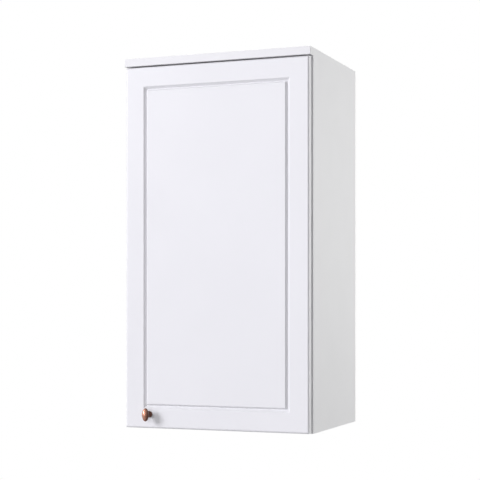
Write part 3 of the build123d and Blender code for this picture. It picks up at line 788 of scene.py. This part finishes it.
@dataclass
class ConcealedHinges(Assembly):
    """The two one-pivot cup hinges with their arms, plates and screws.

    Attributes:
        sheet_edge: Broken edges of the stamped pieces, in millimetres.
        wood_screw: The screw that holds cups and plates.
        arm_screw: The screw that holds or adjusts an arm.
        cup_turns: Turns of the recesses in the cups' screws, in degrees.
        plate_turns: The same in the plates' screws.
        arm_turns: The same in the arms' screws.
    """

    sheet_edge: float = 0.25
    wood_screw: CrossScrew = CrossScrew(head_radius=3.5, head_height=1.6, shank_radius=1.75, length=10.0)
    arm_screw: CrossScrew = CrossScrew(head_radius=3.6, head_height=2.2, shank_radius=2.0, length=7.5)
    cup_turns: tuple[float, ...] = (15.0, 62.0, -20.0, 40.0)
    plate_turns: tuple[float, ...] = (5.0, 48.0, 30.0, -15.0)
    arm_turns: tuple[float, ...] = (12.0, -30.0, 55.0, 3.0)

    def build(self) -> None:
        """Dress the pins, break the edges of the stamped pieces and set the screws."""
        for level in ("lower", "upper"):
            self.dress(Finishes.NICKEL, f"{level}_hinge_pin")
            for part in ("cup", "arm", "plate"):
                self.softened(f"{level}_hinge_{part}", Finishes.NICKEL, self.sheet_edge)
        self.screws(self.wood_screw, "hinge_cup_screws", BACKWARDS, self.cup_turns)
        self.screws(self.wood_screw, "hinge_plate_screws", LEFTWARDS, self.plate_turns)
        self.screws(self.arm_screw, "hinge_arm_screws", LEFTWARDS, self.arm_turns)


@dataclass
class WallHangers(Assembly):
    """The two box hangers, their hooks and screws, and the rail on the wall.

    Attributes:
        housing_edge: Broken edges of the moulded housings, in millimetres.
        steel_edge: Broken edges of the hooks and the rail.
        screw_edge: Broken edges of the adjusting screws.
    """

    housing_edge: float = 0.4
    steel_edge: float = 0.3
    screw_edge: float = 0.25

    def build(self) -> None:
        """Break the edges of the hangers and the rail."""
        for side in ("left", "right"):
            self.softened(f"{side}_hanger_housing", Finishes.NYLON, self.housing_edge)
            self.softened(f"{side}_hanger_hook", Finishes.GALVANISED, self.steel_edge)
        self.softened("wall_rail", Finishes.GALVANISED, self.steel_edge)
        self.softened("hanger_adjusting_screws", Finishes.ZINC_PLATE, self.screw_edge)


# --- Studio -----------------------------------------------------------------------------------

SOFTBOX_WHITE = "#FAF9FF"        # daylight boxes with a breath of lavender, which tints the front


@dataclass
class Lamp:
    """A soft box that points at the cabinet.

    Attributes:
        name: Name of the lamp.
        place: Where it stands, in metres.
        size: Edge of the square box, in metres.
        power: Power in watts.
        colour: Colour of the light, sRGB hex.
        aim: Where it points, which is the cabinet's middle unless given.
    """

    name: str
    place: Triple
    size: float
    power: float
    colour: str = "#FFFFFF"
    aim: Triple = (0.0, -0.15, 0.38)

    def build(self) -> None:
        """Set the lamp up."""
        light = bpy.data.lights.new(self.name, "AREA")
        light.shape = "SQUARE"
        light.size = self.size
        light.energy = self.power
        light.color = linear(self.colour)[:3]
        lamp = bpy.data.objects.new(self.name, light)
        lamp.location = self.place
        lamp.rotation_euler = (Vector(self.aim) - Vector(self.place)).to_track_quat("-Z", "Y").to_euler()
        lamp.visible_camera = False
        bpy.context.collection.objects.link(lamp)


@dataclass
class Studio:
    """Floor, white surround, soft boxes and camera.

    Attributes:
        floor_drop: Lower edge of the cabinet to the floor, in metres.
        floor_size: Edge of the floor.
        floor_cells: Cells along that edge.
        floor_fade: Distances from the cabinet between which the floor fades into the surround.
        floor_glow: Share of the surround's white in the floor near the cabinet.
        floor_paint: Finish of the floor.
        surround: Strength of the white surround as a light.
        camera_place: Where the camera stands.
        camera_turn: Its turn about Z, in degrees.
        camera_tilt: Its turn about X, in degrees; 90 looks level.
        sensor_width: Width of the sensor, in millimetres.
        lens: Focal length, in millimetres.
        shift_y: Upward shift of the lens, as a share of the frame.
        lamps: The soft boxes.
    """

    floor_drop: float = 1.4
    floor_size: float = 40.0
    floor_cells: int = 8
    floor_fade: tuple[float, float] = (3.0, 9.0)
    floor_glow: float = 0.84
    # Matt mid-grey paint on screed: it keeps the soft shadow under the white glow.
    floor_paint: Finish = Finish("matt_floor_paint", "#8C8C8C", "#888888", cloud_size=400, roughness=0.8,
                                 pattern=Pattern.ORANGE_PEEL, pattern_size=3.0, relief=0.05)
    surround: float = 0.20
    camera_place: Triple = (1.0043, -2.7446, 0.2590)
    camera_turn: float = 21.33
    camera_tilt: float = 90.0
    sensor_width: float = 36.0
    lens: float = 98.99
    shift_y: float = 0.1278
    lamps: list[Lamp] = field(default_factory=lambda: [
        Lamp("key", place=(-7.6, -7.54, 3.7), size=4.0, power=985.0, colour=SOFTBOX_WHITE),
        Lamp("fill", place=(-0.3, -8.15, 0.8), size=4.5, power=212.0, colour=SOFTBOX_WHITE),
        Lamp("side", place=(3.9, 3.4, 0.8), size=2.3, power=170.0),
        Lamp("top", place=(-0.3, 1.5, 3.6), size=1.6, power=46.0, aim=(-0.05, 0.0, 0.75)),
    ])

    def build(self) -> None:
        """Set up everything that isn't the cabinet."""
        self.make_floor()
        self.make_surround()
        for lamp in self.lamps:
            lamp.build()
        self.make_camera()
        bpy.context.scene.view_settings.view_transform = "Standard"

    def make_floor(self) -> None:
        """A floor that keeps the shadow and fades into the white surround."""
        deselect()
        bpy.ops.mesh.primitive_grid_add(x_subdivisions=self.floor_cells, y_subdivisions=self.floor_cells,
                                        size=self.floor_size, location=(0, 0, -self.floor_drop))
        floor = bpy.context.object
        floor.name = "floor"
        paint = self.floor_paint.build()
        tree = paint.node_tree
        away = add_node(tree, "ShaderNodeVectorMath", {0: object_place(tree)}, operation="LENGTH")
        fade = remap(tree, away.outputs["Value"], self.floor_fade, (self.floor_glow, 1.0))
        share = arithmetic(tree, "MULTIPLY", self.seen(tree), fade)
        glow = add_node(tree, "ShaderNodeEmission", {"Color": WHITE, "Strength": 1.0})
        painted = tree.nodes["Principled BSDF"]
        both = add_node(tree, "ShaderNodeMixShader", {0: share, 1: painted.outputs[0], 2: glow.outputs[0]})
        tree.links.new(both.outputs[0], tree.nodes["Material Output"].inputs["Surface"])
        floor.data.materials.append(paint)

    def seen(self, tree: bpy.types.NodeTree) -> bpy.types.NodeSocket:
        """1 for what the camera sees straight, through clear surfaces or in gloss, else 0.

        Args:
            tree: The node tree that needs it.

        Returns:
            The socket that carries it.
        """
        path = add_node(tree, "ShaderNodeLightPath").outputs
        straight = arithmetic(tree, "MAXIMUM", path["Is Camera Ray"], path["Is Transmission Ray"])
        return arithmetic(tree, "MAXIMUM", straight, path["Is Glossy Ray"])

    def make_surround(self) -> None:
        """White to the camera, to glossy and to clear surfaces; a softer light to the rest."""
        world = bpy.data.worlds.new("surround")
        world.use_nodes = True
        bpy.context.scene.world = world
        tree = world.node_tree
        background = tree.nodes["Background"]
        background.inputs["Color"].default_value = WHITE
        strength = remap(tree, self.seen(tree), (0.0, 1.0), (self.surround, 1.0))
        tree.links.new(strength, background.inputs["Strength"])

    def make_camera(self) -> None:
        """A long lens at the height of the cabinet's lower third, looking level."""
        data = bpy.data.cameras.new("camera")
        data.sensor_width = self.sensor_width
        data.lens = self.lens
        data.shift_y = self.shift_y
        camera = bpy.data.objects.new("camera", data)
        camera.location = self.camera_place
        camera.rotation_euler = (math.radians(self.camera_tilt), 0, math.radians(self.camera_turn))
        bpy.context.collection.objects.link(camera)
        bpy.context.scene.camera = camera


def main() -> None:
    """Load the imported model, dress it and set up the studio."""
    logging.basicConfig(level=logging.INFO)
    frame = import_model()
    for assembly in (Carcass, DoorLeaf, ConcealedHinges, WallHangers):
        assembly(frame["nodes"]).build()
        LOG.info("built %s", assembly.__name__)
    Studio().build()


if __name__ == "__main__":
    main()
